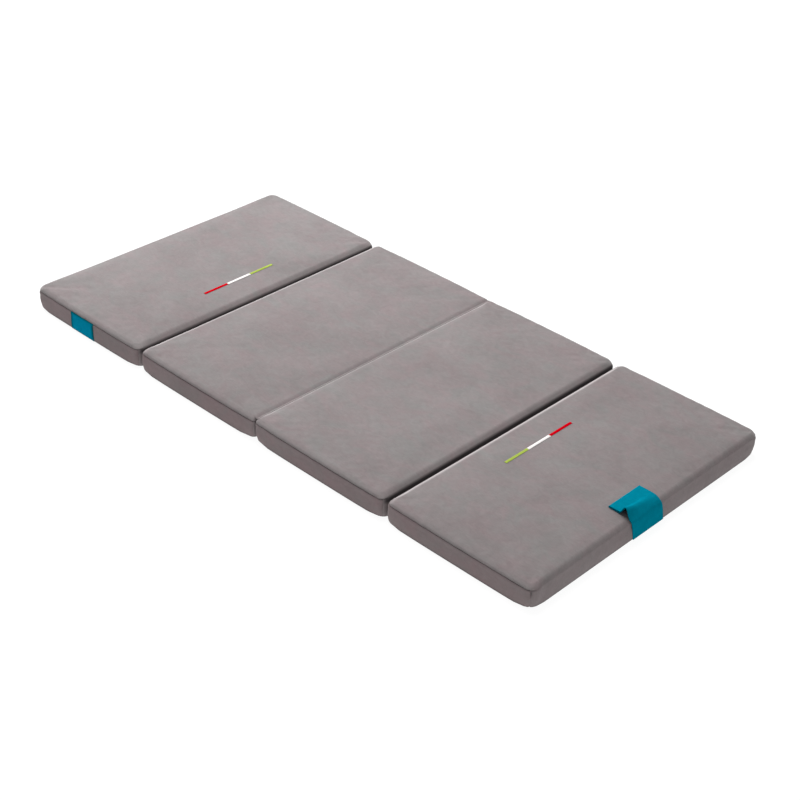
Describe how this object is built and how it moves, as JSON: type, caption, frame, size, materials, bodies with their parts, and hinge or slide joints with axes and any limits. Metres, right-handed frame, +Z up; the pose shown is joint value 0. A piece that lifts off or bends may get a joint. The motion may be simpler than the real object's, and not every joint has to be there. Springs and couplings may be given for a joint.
{
  "type": "folding mattress",
  "caption": "Thin folding mattress of foam panels in zipped fabric covers, joined by cloth folds that close it into a flat stack, with a fabric closing strap.",
  "frame": {"origin": "on the floor under the middle of the whole mattress, on the middle fold line", "axes": "+X along the length to the strap's end, +Y across to the zip side, +Z up"},
  "size_m": [1.2013, 0.6044, 0.0629],
  "materials": {
    "velour": "short brushed pile, matt, warm grey",
    "side_cloth": "short brushed pile, matt, warm grey",
    "base_cloth": "plain woven cloth, matt",
    "foam": "open-cell foam, matt",
    "fold_tape": "woven tape, matt",
    "ribbon_red": "woven ribbon, satin",
    "ribbon_white": "woven ribbon, satin",
    "ribbon_green": "woven ribbon, satin",
    "label": "woven label, satin, bare",
    "strap": "woven webbing, satin",
    "hooks": "hook tape",
    "zip_tape": "woven zip tape with moulded teeth",
    "zip_metal": "satin lacquered zinc"
  },
  "bodies": {
    "panel_1": {"foam_slab_1": "foam", "top_cover_1": "velour", "near_side_1": "side_cloth", "far_side_1": "side_cloth", "base_cloth_1": "base_cloth", "zip_upper_1": "zip_tape", "zip_lower_1": "zip_tape", "fold_tape_12_low": "fold_tape", "ribbon_1_red": "ribbon_red", "ribbon_1_white": "ribbon_white", "ribbon_1_green": "ribbon_green", "label": "label"},
    "panel_2": {"foam_slab_2": "foam", "top_cover_2": "velour", "near_side_2": "side_cloth", "far_side_2": "side_cloth", "base_cloth_2": "base_cloth", "zip_upper_2": "zip_tape", "zip_lower_2": "zip_tape", "fold_tape_12_high": "fold_tape", "fold_tape_23_low": "fold_tape"},
    "panel_3": {"foam_slab_3": "foam", "top_cover_3": "velour", "near_side_3": "side_cloth", "far_side_3": "side_cloth", "base_cloth_3": "base_cloth", "zip_upper_3": "zip_tape", "zip_lower_3": "zip_tape", "fold_tape_23_high": "fold_tape", "fold_tape_34_low": "fold_tape"},
    "panel_4": {"foam_slab_4": "foam", "top_cover_4": "velour", "near_side_4": "side_cloth", "far_side_4": "side_cloth", "base_cloth_4": "base_cloth", "zip_upper_4": "zip_tape", "zip_lower_4": "zip_tape", "fold_tape_34_high": "fold_tape", "ribbon_4_red": "ribbon_red", "ribbon_4_white": "ribbon_white", "ribbon_4_green": "ribbon_green"},
    "strap_low": {"strap_lower": "strap"},
    "strap_end": {"strap_flap": "strap", "hook_pad": "hooks"},
    "slider_1": {"zip_slider_1": "zip_metal"},
    "pull_1": {"zip_pull_1": "zip_metal"},
    "slider_2": {"zip_slider_2": "zip_metal"},
    "pull_2": {"zip_pull_2": "zip_metal"},
    "slider_3": {"zip_slider_3": "zip_metal"},
    "pull_3": {"zip_pull_3": "zip_metal"},
    "slider_4": {"zip_slider_4": "zip_metal"},
    "pull_4": {"zip_pull_4": "zip_metal"}
  },
  "joints": [
    {"name": "fold_1_2", "type": "hinge", "parent": "panel_2", "child": "panel_1", "pos_m": [-0.3, 0, -0.0003], "axis": [0, -1, 0], "range_deg": [0, 180]},
    {"name": "fold_2_3", "type": "hinge", "parent": "panel_2", "child": "panel_3", "pos_m": [0, 0, 0.0462], "axis": [0, -1, 0], "range_deg": [0, 178]},
    {"name": "fold_3_4", "type": "hinge", "parent": "panel_3", "child": "panel_4", "pos_m": [0.3, 0, -0.0003], "axis": [0, 1, 0], "range_deg": [0, 180]},
    {"name": "strap_swing", "type": "hinge", "parent": "panel_4", "child": "strap_low", "pos_m": [0.6008, -0.009, 0.002], "axis": [0, 1, 0], "range_deg": [0, 160]},
    {"name": "strap_bend", "type": "hinge", "parent": "strap_low", "child": "strap_end", "pos_m": [0.59768, -0.015, 0.04278], "axis": [0, 1, 0], "range_deg": [0, 90]},
    {"name": "zip_slide_1", "type": "slide", "parent": "panel_1", "child": "slider_1", "axis": [1, 0, 0], "range_m": [0, 0.217]},
    {"name": "zip_pull_swing_1", "type": "hinge", "parent": "slider_1", "child": "pull_1", "pos_m": [-0.5585, 0.3007, 0.021], "axis": [0, 0, 1], "range_deg": [0, 180]},
    {"name": "zip_slide_2", "type": "slide", "parent": "panel_2", "child": "slider_2", "axis": [1, 0, 0], "range_m": [0, 0.217]},
    {"name": "zip_pull_swing_2", "type": "hinge", "parent": "slider_2", "child": "pull_2", "pos_m": [-0.2585, 0.3007, 0.021], "axis": [0, 0, 1], "range_deg": [0, 180]},
    {"name": "zip_slide_3", "type": "slide", "parent": "panel_3", "child": "slider_3", "axis": [1, 0, 0], "range_m": [0, 0.217]},
    {"name": "zip_pull_swing_3", "type": "hinge", "parent": "slider_3", "child": "pull_3", "pos_m": [0.0415, 0.3007, 0.021], "axis": [0, 0, 1], "range_deg": [0, 180]},
    {"name": "zip_slide_4", "type": "slide", "parent": "panel_4", "child": "slider_4", "axis": [1, 0, 0], "range_m": [0, 0.217]},
    {"name": "zip_pull_swing_4", "type": "hinge", "parent": "slider_4", "child": "pull_4", "pos_m": [0.3415, 0.3007, 0.021], "axis": [0, 0, 1], "range_deg": [0, 180]}
  ]
}
